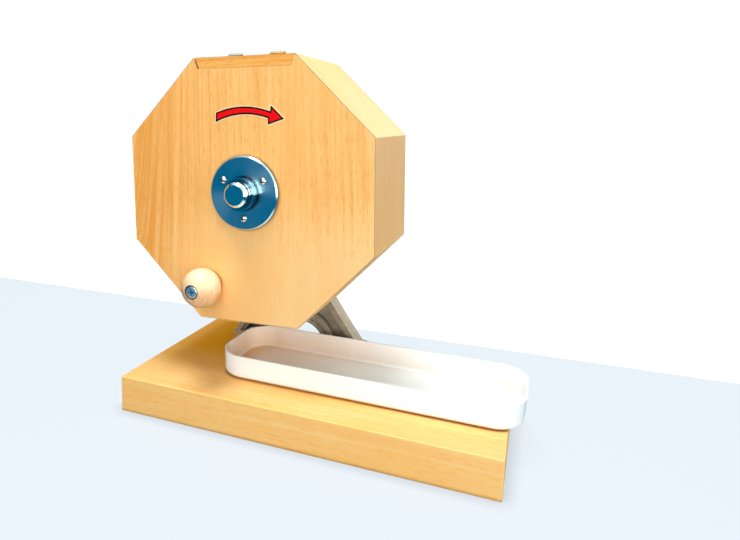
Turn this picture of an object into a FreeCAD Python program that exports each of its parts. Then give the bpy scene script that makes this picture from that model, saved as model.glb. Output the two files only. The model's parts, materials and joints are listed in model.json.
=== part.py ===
import FreeCAD, Part
import os
from math import cos, pi, radians, sin, sqrt, tan

# Hand-turned lottery drum: an octagonal wooden ball drum on a fixed spindle, carried by a
# cast A-shaped stand on a wooden base board, with a loose plastic tray for the drawn balls.
# Millimetres. +X to the right and +Y away from a person facing the front, +Z up.
# Origin: the centre of the base board's underside.

Vec = FreeCAD.Vector
UP = Vec(0, 0, 1)
BACK = Vec(0, 1, 0)

TOUCH = 0.01  # two places closer than this are the same
OVERCUT = 1.0  # how far a cutter reaches past what it cuts

# Base board
BASE_WIDTH = 390.0
BASE_DEPTH = 200.0
BASE_THICK = 38.0
BASE_EDGE_ROUND = 1.6

# Drum
DRUM_X = -61.0
DRUM_Z = 241.0
DRUM_FRONT = -79.0
DRUM_DEPTH = 120.0
DRUM_BACK = DRUM_FRONT + DRUM_DEPTH
APOTHEM = 130.0
SIDES = 8
HALF_SIDE_ANGLE = pi / SIDES
WALL = 11.0
REST_TURN = -1.94
EDGE_EASE = 0.7

# Front rail and lid, which together close the top side of the drum
HINGE_Y = DRUM_FRONT + 30.0
JOINT_GAP = 0.2
RAIL_LEFT_GAP = 1.6
LID_SIDE_GAP = 0.3
LID_SEAT_GAP = 0.1

# Butt hinges on top of the drum
HINGE_CENTRE_X = 23.0
HINGE_WIDTH = 15.4
HINGE_LEAF_LENGTH = 14.0
HINGE_LEAF_THICK = 1.2
HINGE_LEAF_CORNER = 2.0
HINGE_ROOT_OVERLAP = 0.5
KNUCKLE_R = 3.0
HINGE_PIN_R = 1.5
HINGE_PIN_HEAD_R = 2.0
HINGE_PIN_HEAD_LENGTH = 0.8
HINGE_PIN_FIT = 0.05
KNUCKLE_END = 4.0
KNUCKLE_GAP = 0.2
HINGE_SCREW_PITCH = 8.6
HINGE_SCREW_FROM_PIN = 8.6
HINGE_SCREW_HEAD_R = 2.0
HINGE_SCREW_SHANK_R = 0.9
HINGE_SCREW_LENGTH = 8.5
HINGE_SCREW_PROUD = 0.3
HINGE_SLOT_HALF = 0.3
HINGE_SLOT_DEPTH = 0.5

# Spindle and what keeps the drum on it
SPINDLE_R = 9.0
SPINDLE_TAIL_R = 7.0
SPINDLE_TIP_BEVEL = 1.2
RUNNING_FIT = 0.05
END_PLAY = 0.1
BUSH_R = 12.0
FLANGE_R = 36.0
FLANGE_THICK = 4.5
FLANGE_BEVEL = 1.2
FRONT_BOSS_R = 16.0
FRONT_BOSS_LENGTH = 9.5
BOSS_GROOVES_OUT = (2.0, 4.6, 7.2)
BOSS_GROOVE_WIDTH = 1.4
BOSS_GROOVE_DEPTH = 1.3
REAR_BOSS_R = 16.0
REAR_BOSS_LENGTH = 3.9
THRUST_WASHER_R = 13.6
THRUST_WASHER_THICK = 1.5
COLLAR_R = 12.0
COLLAR_LENGTH = 6.4
COLLAR_BEVEL = 2.2
SET_SCREW_R = 2.0
SET_SCREW_FROM_WASHER = 2.4
SET_SCREW_SUNK = 0.6
SET_SCREW_TIP_GAP = 0.3
SET_SCREW_HOLE_GAP = 0.4
SET_SCREW_SOCKET_ACROSS = 2.0
SET_SCREW_SOCKET_DEPTH = 1.4
SET_SCREW_SOCKET_START = 0.5
FLANGE_SCREW_CIRCLE_R = 24.5
FLANGE_SCREW_COUNT = 3
FLANGE_SCREW_HEAD_R = 3.6
FLANGE_SCREW_HEAD_HEIGHT = 2.4
FLANGE_SCREW_SHANK_R = 1.8
FLANGE_SCREW_LENGTH = 13.0
FLANGE_SCREW_RECESS = 4.4
SLOT_WIDTH = 0.9
SLOT_DEPTH = 1.1

# Knob
KNOB_RADIUS_FROM_AXIS = 101.7
KNOB_ANGLE_DEG = 203.6
KNOB_R = 19.3
KNOB_CENTRE_OUT = 18.4
KNOB_SCREW_R = 3.0
KNOB_SCREW_HEAD_R = 6.4
KNOB_SCREW_HEAD_HEIGHT = 4.2
KNOB_SCREW_HEAD_ROUND = 1.6
KNOB_SCREW_RECESS = 6.4
KNOB_SEAT_R = 7.3
KNOB_SEAT_OUT = 31.8
KNOB_WASHER_R = 8.0
KNOB_WASHER_THICK = 1.0
KNOB_NUT_FLANGE_R = 9.5
KNOB_NUT_FLANGE_THICK = 1.6
KNOB_NUT_BARREL_R = 4.2
KNOB_NUT_BARREL_LENGTH = 7.0

# Direction arrow label
ARROW_THICK = 0.25
ARROW_OUTER_R = 82.7
ARROW_INNER_R = 75.1
ARROW_TAIL_OUTER_DEG = -21.4
ARROW_TAIL_INNER_DEG = -24.3
ARROW_NECK_DEG = 19.6
ARROW_OUTER_BARB = (88.2, 19.0)
ARROW_INNER_BARB = (70.1, 21.2)
ARROW_TIP = (82.3, 30.8)

# Panel brads
BRAD_R = 0.7
BRAD_LENGTH = 22.0
BRAD_SUNK = 0.25
BRAD_FROM_FACE = 5.0
BRAD_PITCH = 63.0

# Ball outlet
OUTLET_R = 7.0
POCKET_WIDTH = 40.0
POCKET_LENGTH = 46.0
POCKET_HEIGHT = 18.0
POCKET_ROOF = 4.5
POCKET_CORNER = 2.5

# Lid catch: a magnet in the back board and a steel disc under the lid
CATCH_R = 4.0
CATCH_MAGNET_LENGTH = 8.0
CATCH_DISC_THICK = 2.0

# Stand
STAND_FRONT = 55.0
STAND_BACK = 75.0
STAND_FOOT_HALF = 85.0
STAND_SPREAD_HALF = 88.7
STAND_FLANK_SLOPE = 0.72
STAND_NECK_HALF = 25.0
STAND_NECK_ROUND = 60.0
STAND_HUB_RIM_R = 34.0
STAND_RIM = 6.0
STAND_STEP = 4.0
STAND_STEP_DEPTH = 4.0
STAND_WEB_FRONT = 67.5
STAND_WEB_BACK = 71.5
STAND_HUB_R = 22.0
STAND_HUB_FRONT = 51.0
STAND_HUB_BACK = 77.0
ARCH_HALF = 35.8
ARCH_TOP = 30.5
ARCH_ROUND = 28.5
ARCH_PLATE = 14.0
ARCH_PLATE_DROP = 3.0
ARCH_BEADS = ((3.0, 5.6), (10.2, 13.0))
PAD_THICK = 6.0
PAD_BACK = 91.0
PAD_CORNER = 8.0
FOOT_BOLT_X = 62.5
FOOT_BOLT_FRONT_Y = 61.2
FOOT_BOLT_BACK_Y = 83.5
FOOT_BOLT_R = 3.0
FOOT_BOLT_ACROSS = 10.0
FOOT_BOLT_HEAD = 4.4
FOOT_BOLT_CONE = 1.6
FOOT_BOLT_CROWN = 0.6
FOOT_BOLT_IN_WOOD = 28.0
FOOT_BOLT_CLEARANCE = 0.3
FOOT_WASHER_R = 5.8
FOOT_WASHER_THICK = 1.2
SPINDLE_WASHER_R = 14.0
SPINDLE_WASHER_THICK = 2.5
SPINDLE_NUT_ACROSS = 22.0
SPINDLE_NUT_THICK = 10.0
SPINDLE_NUT_CONE = 5.0
SPINDLE_END = 92.0

# Ball tray
TRAY_LEFT = -107.0
TRAY_RIGHT = 209.0
TRAY_FRONT = -57.5
TRAY_BACK = 40.0
TRAY_HEIGHT = 25.5
TRAY_CORNER = 30.0
TRAY_WALL = 2.0
TRAY_DRAFT = 1.2
TRAY_FOOT_ROUND = 5.0


def box(x0, x1, y0, y1, z0, z1):
    """A box between two corners."""
    return Part.makeBox(x1 - x0, y1 - y0, z1 - z0, Vec(x0, y0, z0))


def rod_y(radius, y0, y1, x=0.0, z=0.0):
    """A round rod along Y."""
    return Part.makeCylinder(radius, y1 - y0, Vec(x, y0, z), BACK)


def rod_z(radius, z0, z1, x=0.0, y=0.0):
    """A round rod along Z."""
    return Part.makeCylinder(radius, z1 - z0, Vec(x, y, z0), UP)


def rod_x(radius, x0, x1, y=0.0, z=0.0):
    """A round rod along X."""
    return Part.makeCylinder(radius, x1 - x0, Vec(x0, y, z), Vec(1, 0, 0))


def prism_y(points, y0, y1):
    """A straight prism along Y whose section is a closed outline of (x, z) points."""
    corners = [Vec(x, y0, z) for x, z in points]
    outline = Part.makePolygon(corners + corners[:1])
    return Part.Face(outline).extrude(Vec(0, y1 - y0, 0))


def hexagon_prism(across, length, base, direction):
    """A hexagonal prism, across flats, from a base centre along Y or Z."""
    corner_r = across / sqrt(3)
    angles = [radians(60 * i) for i in range(6)]
    if direction == BACK:
        corners = [base + Vec(corner_r * cos(a), 0, corner_r * sin(a)) for a in angles]
    else:
        corners = [base + Vec(corner_r * cos(a), corner_r * sin(a), 0) for a in angles]
    outline = Part.makePolygon(corners + corners[:1])
    return Part.Face(outline).extrude(direction * length)


def polar(radius, clockwise):
    """A point (x, z) at an angle clockwise from straight up, seen from the front."""
    return radius * sin(clockwise), radius * cos(clockwise)


def octagon_wire(apothem, y):
    """A closed octagon around the drum axis, in the plane at y."""
    corner_r = apothem / cos(HALF_SIDE_ANGLE)
    corners = []
    for k in range(SIDES):
        x, z = polar(corner_r, (2 * k + 1) * HALF_SIDE_ANGLE)
        corners.append(Vec(x, y, z))
    return Part.makePolygon(corners + corners[:1])


def mitred_board(outer_y, inner_y):
    """An end board whose edge is mitred at 45 degrees all round."""
    wires = [octagon_wire(APOTHEM, outer_y), octagon_wire(APOTHEM - WALL, inner_y)]
    return Part.makeLoft(wires, True, True)


def top_wedge(y0, y1, left_gap=0.0, right_gap=0.0, seat_gap=0.0):
    """The top side of the drum: a plank whose long edges point at the drum axis."""
    lean = tan(HALF_SIDE_ANGLE)
    low = APOTHEM - WALL + seat_gap
    points = [
        (-APOTHEM * lean + left_gap, APOTHEM),
        (APOTHEM * lean - right_gap, APOTHEM),
        (low * lean - right_gap, low),
        (-low * lean + left_gap, low),
    ]
    return prism_y(points, y0, y1)


def drum_place(shape):
    """Carry a part modelled around the drum axis to its place, with the drum's rest turn."""
    placed = shape.copy()
    placed.rotate(Vec(0, 0, 0), BACK, REST_TURN)
    placed.translate(Vec(DRUM_X, 0, DRUM_Z))
    return placed


def group(shapes):
    """Separate solids kept in one node."""
    solids = []
    for shape in shapes:
        solids.extend(shape.Solids)
    return Part.makeCompound(solids)


def slot_cut(x, y, z, length, along, depth_dir):
    """The cutter for a straight driver slot or one arm of a cross recess."""
    half = length / 2
    wide = SLOT_WIDTH / 2
    if along == "x":
        cutter = box(x - half, x + half, y - SLOT_DEPTH, y + SLOT_DEPTH, z - wide, z + wide)
    else:
        cutter = box(x - wide, x + wide, y - SLOT_DEPTH, y + SLOT_DEPTH, z - half, z + half)
    if depth_dir == "z":
        cutter.rotate(Vec(x, y, z), Vec(1, 0, 0), 90)
    return cutter


# ---------------------------------------------------------------- base and stand


def foot_bolt_places():
    """Centres of the four foot bolts, as (x, y)."""
    places = []
    for side in (-1, 1):
        for y in (FOOT_BOLT_FRONT_Y, FOOT_BOLT_BACK_Y):
            places.append((DRUM_X + side * FOOT_BOLT_X, y))
    return places


def make_foot_bolts():
    """Hexagon-headed wood screws that hold the stand's feet."""
    under_head = BASE_THICK + PAD_THICK + FOOT_WASHER_THICK
    bolts = []
    for x, y in foot_bolt_places():
        head = hexagon_prism(FOOT_BOLT_ACROSS, FOOT_BOLT_HEAD, Vec(x, y, under_head), UP)
        dome = Part.makeCone(FOOT_BOLT_ACROSS / 2 + FOOT_BOLT_CONE,
                             FOOT_BOLT_ACROSS / 2 - FOOT_BOLT_CROWN, FOOT_BOLT_HEAD,
                             Vec(x, y, under_head), UP)
        shank = rod_z(FOOT_BOLT_R, BASE_THICK - FOOT_BOLT_IN_WOOD, under_head, x, y)
        bolts.append(head.common(dome).fuse(shank))
    return group(bolts)


def make_foot_washers():
    """Plain washers under the foot bolts."""
    low = BASE_THICK + PAD_THICK
    washers = []
    for x, y in foot_bolt_places():
        disc = rod_z(FOOT_WASHER_R, low, low + FOOT_WASHER_THICK, x, y)
        hole = rod_z(FOOT_BOLT_R + FOOT_BOLT_CLEARANCE, low, low + FOOT_WASHER_THICK, x, y)
        washers.append(disc.cut(hole))
    return group(washers)


def make_base_board(bolts):
    """The base board, with eased edges and the bolts' holes."""
    half_x = BASE_WIDTH / 2
    half_y = BASE_DEPTH / 2
    board = box(-half_x, half_x, -half_y, half_y, 0, BASE_THICK)
    edges = [e for e in board.Edges if e.BoundBox.ZMax > BASE_EDGE_ROUND]
    board = board.makeFillet(BASE_EDGE_ROUND, edges)
    return board.cut(bolts)


def stand_outline_points(below):
    """The stand's corners seen from the front, before rounding, reaching below its foot."""
    foot = BASE_THICK - DRUM_Z
    ankle = foot + (STAND_SPREAD_HALF - STAND_FOOT_HALF) / STAND_FLANK_SLOPE
    neck = foot + (STAND_SPREAD_HALF - STAND_NECK_HALF) / STAND_FLANK_SLOPE
    right = [(STAND_FOOT_HALF, foot - below), (STAND_FOOT_HALF, ankle),
             (STAND_NECK_HALF, neck), (STAND_NECK_HALF, 0.0)]
    left = [(-x, z) for x, z in reversed(right)]
    return right + left, neck


def stand_slab(y0, y1, below=0.0):
    """The stand's full outline as a slab: spread legs, hollow flanks and a round hub."""
    points, neck = stand_outline_points(below)
    slab = prism_y(points, y0, y1)
    waist = []
    for edge in slab.Edges:
        middle = edge.BoundBox.Center
        along_y = edge.BoundBox.YLength > 0.9 * (y1 - y0)
        if along_y and abs(middle.z - neck) < 1.0:
            waist.append(edge)
    slab = slab.makeFillet(STAND_NECK_ROUND, waist)
    return slab.fuse(rod_y(STAND_HUB_RIM_R, y0, y1)).removeSplitter()


def stand_slab_inset(inset, y0, y1):
    """The stand's outline moved inwards, except at the foot, as a slab."""
    front = None
    for face in stand_slab(0.0, 1.0, inset).Faces:
        flat = face.BoundBox.YLength < TOUCH and abs(face.BoundBox.Center.y) < TOUCH
        if flat:
            front = face
    wire = front.OuterWire.makeOffset2D(-inset, 2)
    slab = Part.Face(wire).extrude(Vec(0, y1 - y0, 0))
    slab.translate(Vec(0, y0, 0))
    return slab


def arch_slab(grow, y0, y1):
    """The opening between the legs as a slab, grown outwards by an offset."""
    foot = BASE_THICK - DRUM_Z
    half = ARCH_HALF + grow
    top = foot + ARCH_TOP + grow
    slab = box(-half, half, y0, y1, foot - OVERCUT, top)
    shoulders = []
    for edge in slab.Edges:
        along_y = edge.BoundBox.YLength > 0.9 * (y1 - y0)
        if along_y and edge.BoundBox.ZMin > top - TOUCH:
            shoulders.append(edge)
    return slab.makeFillet(ARCH_ROUND + grow, shoulders)


def stand_pocket(inset, y0, y1):
    """Metal taken out of one side of the stand, leaving rims, arch plate, hub and foot."""
    foot = BASE_THICK - DRUM_Z
    reach = STAND_SPREAD_HALF + OVERCUT
    pocket = stand_slab_inset(inset, y0, y1)
    pocket = pocket.cut(arch_slab(ARCH_PLATE, y0, y1))
    pocket = pocket.cut(rod_y(STAND_HUB_R, y0, y1))
    return pocket.cut(box(-reach, reach, y0, y1, foot - OVERCUT, foot + PAD_THICK))


def stand_feet():
    """Flat pads that carry on behind each leg to take the rear bolts."""
    foot = BASE_THICK - DRUM_Z
    pads = []
    for side in (-1, 1):
        near = min(side * ARCH_HALF, side * STAND_FOOT_HALF)
        far = max(side * ARCH_HALF, side * STAND_FOOT_HALF)
        pad = box(near, far, STAND_BACK - OVERCUT, PAD_BACK, foot, foot + PAD_THICK)
        rear = [e for e in pad.Edges
                if e.BoundBox.YMin > PAD_BACK - 1.0 and e.BoundBox.ZLength > PAD_THICK - 1.0]
        pads.append(pad.makeFillet(PAD_CORNER, rear))
    return pads


def make_stand():
    """The cast stand: an A-shaped frame with rimmed legs, a beaded arch and a bored hub."""
    body = stand_slab(STAND_FRONT, STAND_BACK)
    body = body.cut(stand_pocket(STAND_RIM, STAND_FRONT, STAND_FRONT + STAND_STEP_DEPTH))
    body = body.cut(stand_pocket(STAND_RIM + STAND_STEP, STAND_FRONT, STAND_WEB_FRONT))
    body = body.cut(stand_pocket(STAND_RIM, STAND_WEB_BACK, STAND_BACK))
    plate = arch_slab(ARCH_PLATE, STAND_FRONT, STAND_FRONT + ARCH_PLATE_DROP)
    for inner, outer in ARCH_BEADS:
        ring = arch_slab(outer, STAND_FRONT, STAND_FRONT + ARCH_PLATE_DROP)
        ring = ring.cut(arch_slab(inner, STAND_FRONT, STAND_FRONT + ARCH_PLATE_DROP))
        plate = plate.cut(ring)
    foot = BASE_THICK - DRUM_Z
    plate = plate.cut(box(-STAND_SPREAD_HALF, STAND_SPREAD_HALF, STAND_FRONT, STAND_BACK,
                          foot - 2 * OVERCUT, foot + PAD_THICK))
    body = body.cut(plate)
    body = body.cut(arch_slab(0.0, STAND_FRONT - OVERCUT, STAND_BACK + OVERCUT))
    for pad in stand_feet():
        body = body.fuse(pad)
    body = body.fuse(rod_y(STAND_HUB_R, STAND_HUB_FRONT, STAND_HUB_BACK))
    body = body.cut(rod_y(SPINDLE_TAIL_R, STAND_HUB_FRONT, STAND_HUB_BACK))
    body.translate(Vec(DRUM_X, 0, DRUM_Z))
    for x, y in foot_bolt_places():
        hole_r = FOOT_BOLT_R + FOOT_BOLT_CLEARANCE
        body = body.cut(rod_z(hole_r, BASE_THICK, BASE_THICK + PAD_THICK, x, y))
    return body.removeSplitter()


# ---------------------------------------------------------------- spindle group


def front_stack():
    """The y of each step in front of the drum: boss end, washer front, collar front."""
    boss_end = DRUM_FRONT - FLANGE_THICK - FRONT_BOSS_LENGTH
    washer_front = boss_end - END_PLAY - THRUST_WASHER_THICK
    collar_front = washer_front - COLLAR_LENGTH
    return boss_end, washer_front, collar_front


def spindle_group_place(shape):
    """Carry a part modelled around the drum axis to the axis, without the rest turn."""
    placed = shape.copy()
    placed.translate(Vec(DRUM_X, 0, DRUM_Z))
    return placed


def make_spindle():
    """The fixed spindle, shouldered against the stand's hub."""
    front = front_stack()[2]
    body = rod_y(SPINDLE_R, front, STAND_HUB_FRONT)
    tail = rod_y(SPINDLE_TAIL_R, STAND_HUB_FRONT, SPINDLE_END)
    tip = [e for e in tail.Edges if e.BoundBox.YMin > SPINDLE_END - 0.1]
    return body.fuse(tail.makeChamfer(SPINDLE_TIP_BEVEL, tip[:1]))


def make_spindle_washer():
    """The washer behind the stand's hub."""
    back = STAND_HUB_BACK + SPINDLE_WASHER_THICK
    disc = rod_y(SPINDLE_WASHER_R, STAND_HUB_BACK, back)
    return disc.cut(rod_y(SPINDLE_TAIL_R, STAND_HUB_BACK, back))


def make_spindle_nut():
    """The hexagon nut that pulls the spindle's shoulder against the hub."""
    front = STAND_HUB_BACK + SPINDLE_WASHER_THICK
    back = front + SPINDLE_NUT_THICK
    nut = hexagon_prism(SPINDLE_NUT_ACROSS, SPINDLE_NUT_THICK, Vec(0, front, 0), BACK)
    dome = Part.makeCone(SPINDLE_NUT_ACROSS / 2 + SPINDLE_NUT_CONE, SPINDLE_NUT_ACROSS / 2,
                         SPINDLE_NUT_THICK, Vec(0, front, 0), BACK)
    return nut.common(dome).cut(rod_y(SPINDLE_TAIL_R, front, back))


def make_rear_thrust_washer():
    """The washer between the rear boss and the stand's hub."""
    front = STAND_HUB_FRONT - THRUST_WASHER_THICK
    disc = rod_y(THRUST_WASHER_R, front, STAND_HUB_FRONT)
    return disc.cut(rod_y(SPINDLE_R, front, STAND_HUB_FRONT))


def make_front_thrust_washer():
    """The washer between the front boss and the retaining collar."""
    front = front_stack()[1]
    back = front + THRUST_WASHER_THICK
    disc = rod_y(THRUST_WASHER_R, front, back)
    return disc.cut(rod_y(SPINDLE_R, front, back))


def make_set_screw():
    """The headless screw that locks the retaining collar, under the spindle."""
    middle = front_stack()[1] - SET_SCREW_FROM_WASHER
    screw = rod_z(SET_SCREW_R, SET_SCREW_SUNK - COLLAR_R, -SPINDLE_R - SET_SCREW_TIP_GAP, 0, middle)
    start = Vec(0, middle, SET_SCREW_SOCKET_START - COLLAR_R)
    socket = hexagon_prism(SET_SCREW_SOCKET_ACROSS, SET_SCREW_SOCKET_DEPTH, start, UP)
    return screw.cut(socket)


def make_retaining_collar():
    """The bevelled collar on the spindle's front end."""
    _, back, front = front_stack()
    ring = rod_y(COLLAR_R, front, back)
    edge = [e for e in ring.Edges if e.BoundBox.YMax < front + 0.1]
    ring = ring.makeChamfer(COLLAR_BEVEL, edge[:1])
    ring = ring.cut(rod_y(SPINDLE_R, front, back))
    middle = back - SET_SCREW_FROM_WASHER
    hole_end = SET_SCREW_HOLE_GAP - SPINDLE_R
    return ring.cut(rod_z(SET_SCREW_R, -COLLAR_R - OVERCUT, hole_end, 0, middle))


# ---------------------------------------------------------------- drum shell


def panel_blank(index):
    """One rim panel as a straight plank, before its ends are mitred."""
    inner_r = (APOTHEM - WALL) / cos(HALF_SIDE_ANGLE)
    outer_r = APOTHEM / cos(HALF_SIDE_ANGLE)
    start = (2 * index - 1) * HALF_SIDE_ANGLE
    end = (2 * index + 1) * HALF_SIDE_ANGLE
    points = [polar(outer_r, start), polar(outer_r, end), polar(inner_r, end), polar(inner_r, start)]
    return prism_y(points, DRUM_FRONT, DRUM_BACK)


def brads_of_panel(index):
    """Four brads that pin one rim panel to both end boards."""
    brads = []
    for y in (DRUM_FRONT + BRAD_FROM_FACE, DRUM_BACK - BRAD_FROM_FACE):
        for offset in (-BRAD_PITCH / 2, BRAD_PITCH / 2):
            brad = rod_z(BRAD_R, APOTHEM - BRAD_LENGTH, APOTHEM - BRAD_SUNK, offset, y)
            brad.rotate(Vec(0, 0, 0), BACK, 360.0 / SIDES * index)
            brads.append(brad)
    return brads


def make_brads():
    """All the panel brads, as built around an unturned drum."""
    brads = []
    for index in range(1, SIDES):
        brads.extend(brads_of_panel(index))
    return group(brads)


def brad_holes(index):
    """Holes for one panel's brads, open to the outside so each head sits a little deep."""
    holes = []
    for y in (DRUM_FRONT + BRAD_FROM_FACE, DRUM_BACK - BRAD_FROM_FACE):
        for offset in (-BRAD_PITCH / 2, BRAD_PITCH / 2):
            hole = rod_z(BRAD_R, APOTHEM - BRAD_LENGTH, APOTHEM + OVERCUT, offset, y)
            hole.rotate(Vec(0, 0, 0), BACK, 360.0 / SIDES * index)
            holes.append(hole)
    return holes


def ease_outer_edges(board, y_face):
    """Break the sharp arris around an end board's outer face."""
    edges = [e for e in board.Edges
             if e.BoundBox.YLength < TOUCH and abs(e.BoundBox.YMin - y_face) < TOUCH]
    notch = APOTHEM / 2
    outer = [e for e in edges if abs(e.BoundBox.Center.x) > notch or e.BoundBox.Center.z < notch]
    return board.makeChamfer(EDGE_EASE, outer)


def make_front_board(cutters):
    """The front board: an octagon with mitred edges, notched at the top for the rail."""
    board = mitred_board(DRUM_FRONT, DRUM_FRONT + WALL)
    board = board.cut(top_wedge(DRUM_FRONT - OVERCUT, DRUM_BACK))
    board = ease_outer_edges(board, DRUM_FRONT)
    for cutter in cutters:
        board = board.cut(cutter)
    return board


def make_back_board(cutters):
    """The back board: the same octagon at the rear, notched at the top for the lid."""
    board = mitred_board(DRUM_BACK, DRUM_BACK - WALL)
    board = board.cut(top_wedge(DRUM_FRONT, DRUM_BACK + OVERCUT))
    board = ease_outer_edges(board, DRUM_BACK)
    for cutter in cutters:
        board = board.cut(cutter)
    return board


def make_rim_panel(index):
    """One of the seven fixed rim panels, with mitred ends and brad holes."""
    panel = panel_blank(index)
    panel = panel.cut(mitred_board(DRUM_FRONT, DRUM_FRONT + WALL))
    panel = panel.cut(mitred_board(DRUM_BACK, DRUM_BACK - WALL))
    for hole in brad_holes(index):
        panel = panel.cut(hole)
    return panel


def outlet_bore():
    """The ball outlet through the left rim panel."""
    middle = (DRUM_FRONT + DRUM_BACK) / 2
    roof = APOTHEM - WALL - POCKET_HEIGHT + POCKET_ROOF
    return rod_x(OUTLET_R, -APOTHEM - OVERCUT, -roof, middle, 0)


def make_outlet_pocket():
    """The block behind the outlet: its side channel lets in one ball at a time."""
    middle = (DRUM_FRONT + DRUM_BACK) / 2
    half = POCKET_WIDTH / 2
    outer = APOTHEM - WALL
    inner = outer - POCKET_HEIGHT
    block = box(-outer, -inner, middle - half, middle + half, -POCKET_LENGTH / 2,
                POCKET_LENGTH / 2)
    corners = [e for e in block.Edges if abs(e.BoundBox.XMin + inner) < TOUCH
               and abs(e.BoundBox.XMax + inner) < TOUCH]
    block = block.makeFillet(POCKET_CORNER, corners)
    channel = box(-outer, -inner - POCKET_ROOF, middle - OUTLET_R, middle + OUTLET_R, 0,
                  POCKET_LENGTH / 2)
    return block.cut(channel).cut(outlet_bore())


# ---------------------------------------------------------------- lid and hinges


def hinge_axis_z():
    """Height of the hinge pins above the drum axis."""
    return APOTHEM + KNUCKLE_R


def hinge_screw(x, y):
    """A countersunk screw down through a hinge leaf."""
    top = APOTHEM + HINGE_LEAF_THICK
    head = Part.makeCone(HINGE_SCREW_SHANK_R, HINGE_SCREW_HEAD_R, HINGE_LEAF_THICK,
                         Vec(x, y, APOTHEM), UP)
    rim = rod_z(HINGE_SCREW_HEAD_R, top, top + HINGE_SCREW_PROUD, x, y)
    shank = rod_z(HINGE_SCREW_SHANK_R, top - HINGE_SCREW_LENGTH, APOTHEM, x, y)
    return head.fuse(rim).fuse(shank)


def hinge_screw_slot(x, y):
    """The driver slot of a hinge screw."""
    top = APOTHEM + HINGE_LEAF_THICK + HINGE_SCREW_PROUD
    return box(x - HINGE_SCREW_HEAD_R, x + HINGE_SCREW_HEAD_R, y - HINGE_SLOT_HALF,
               y + HINGE_SLOT_HALF, top - HINGE_SLOT_DEPTH, top)


def hinge_screws(side_y):
    """Plain hinge screws in front of the pins (-1) or behind them (+1)."""
    screws = []
    for hinge in (-1, 1):
        for end in (-1, 1):
            x = hinge * HINGE_CENTRE_X + end * HINGE_SCREW_PITCH / 2
            y = HINGE_Y + side_y * HINGE_SCREW_FROM_PIN
            screws.append((hinge_screw(x, y), hinge_screw_slot(x, y)))
    return screws


def make_hinge_screws(side_y):
    """The slotted hinge screws of one row of leaves."""
    return group([screw.cut(slot) for screw, slot in hinge_screws(side_y)])


def hinge_knuckles(centre_x, fixed):
    """The rolled tubes of one leaf: two outer ones when fixed, else the middle one."""
    half = HINGE_WIDTH / 2
    inner = half - KNUCKLE_END
    if fixed:
        spans = [(-half, -inner), (inner, half)]
    else:
        spans = [(-inner + KNUCKLE_GAP, inner - KNUCKLE_GAP)]
    return [(centre_x + a, centre_x + b) for a, b in spans]


def make_hinge_leaf(centre_x, fixed):
    """One hinge leaf with its knuckles, in front of or behind the pin."""
    half = HINGE_WIDTH / 2
    z = hinge_axis_z()
    side_y = -1 if fixed else 1
    far = HINGE_Y + side_y * HINGE_LEAF_LENGTH
    spans = hinge_knuckles(centre_x, fixed)
    y0 = min(HINGE_Y + side_y * KNUCKLE_R, far)
    y1 = max(HINGE_Y + side_y * KNUCKLE_R, far)
    leaf = box(centre_x - half, centre_x + half, y0, y1, APOTHEM, APOTHEM + HINGE_LEAF_THICK)
    far_corners = [e for e in leaf.Edges
                   if e.BoundBox.ZLength > 1.0 and abs(e.BoundBox.YMin - far) < TOUCH]
    leaf = leaf.makeFillet(HINGE_LEAF_CORNER, far_corners)
    for a, b in spans:
        tube = rod_x(KNUCKLE_R, a, b, HINGE_Y, z)
        near = HINGE_Y + side_y * (KNUCKLE_R + HINGE_ROOT_OVERLAP)
        root = box(a, b, min(HINGE_Y, near), max(HINGE_Y, near), APOTHEM,
                   APOTHEM + HINGE_LEAF_THICK)
        leaf = leaf.fuse(tube).fuse(root)
    pin_space = HINGE_PIN_R if fixed else HINGE_PIN_R + HINGE_PIN_FIT
    leaf = leaf.cut(rod_x(pin_space, centre_x - half, centre_x + half, HINGE_Y, z))
    for screw, _ in hinge_screws(side_y):
        leaf = leaf.cut(screw)
    return leaf.removeSplitter()


def make_hinge_pin(centre_x):
    """The hinge pin, held by the fixed leaf's two knuckles."""
    half = HINGE_WIDTH / 2
    z = hinge_axis_z()
    pin = rod_x(HINGE_PIN_R, centre_x - half, centre_x + half, HINGE_Y, z)
    for side in (-1, 1):
        cap = centre_x + side * half
        end = cap + side * HINGE_PIN_HEAD_LENGTH
        head = rod_x(HINGE_PIN_HEAD_R, min(cap, end), max(cap, end), HINGE_Y, z)
        pin = pin.fuse(head)
    return pin


def make_front_rail():
    """The fixed strip of the drum's top side, in front of the lid."""
    rail = top_wedge(DRUM_FRONT, HINGE_Y - JOINT_GAP, left_gap=RAIL_LEFT_GAP)
    for screw, _ in hinge_screws(-1):
        rail = rail.cut(screw)
    return rail


def catch_centre_y():
    """Where the lid's magnetic catch sits, above the back board."""
    return DRUM_BACK - WALL / 2


def make_lid():
    """The lid: the rest of the top side, back to the rear face."""
    lid = top_wedge(HINGE_Y + JOINT_GAP, DRUM_BACK, LID_SIDE_GAP, LID_SIDE_GAP, LID_SEAT_GAP)
    for screw, _ in hinge_screws(1):
        lid = lid.cut(screw)
    low = APOTHEM - WALL + LID_SEAT_GAP
    return lid.cut(rod_z(CATCH_R, low, low + CATCH_DISC_THICK, 0, catch_centre_y()))


def make_catch_disc():
    """The steel disc under the lid's rear end."""
    low = APOTHEM - WALL + LID_SEAT_GAP
    return rod_z(CATCH_R, low, low + CATCH_DISC_THICK, 0, catch_centre_y())


def make_catch_magnet():
    """The round magnet set into the back board's top edge."""
    top = APOTHEM - WALL
    return rod_z(CATCH_R, top - CATCH_MAGNET_LENGTH, top, 0, catch_centre_y())


# ---------------------------------------------------------------- hub flanges


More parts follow.
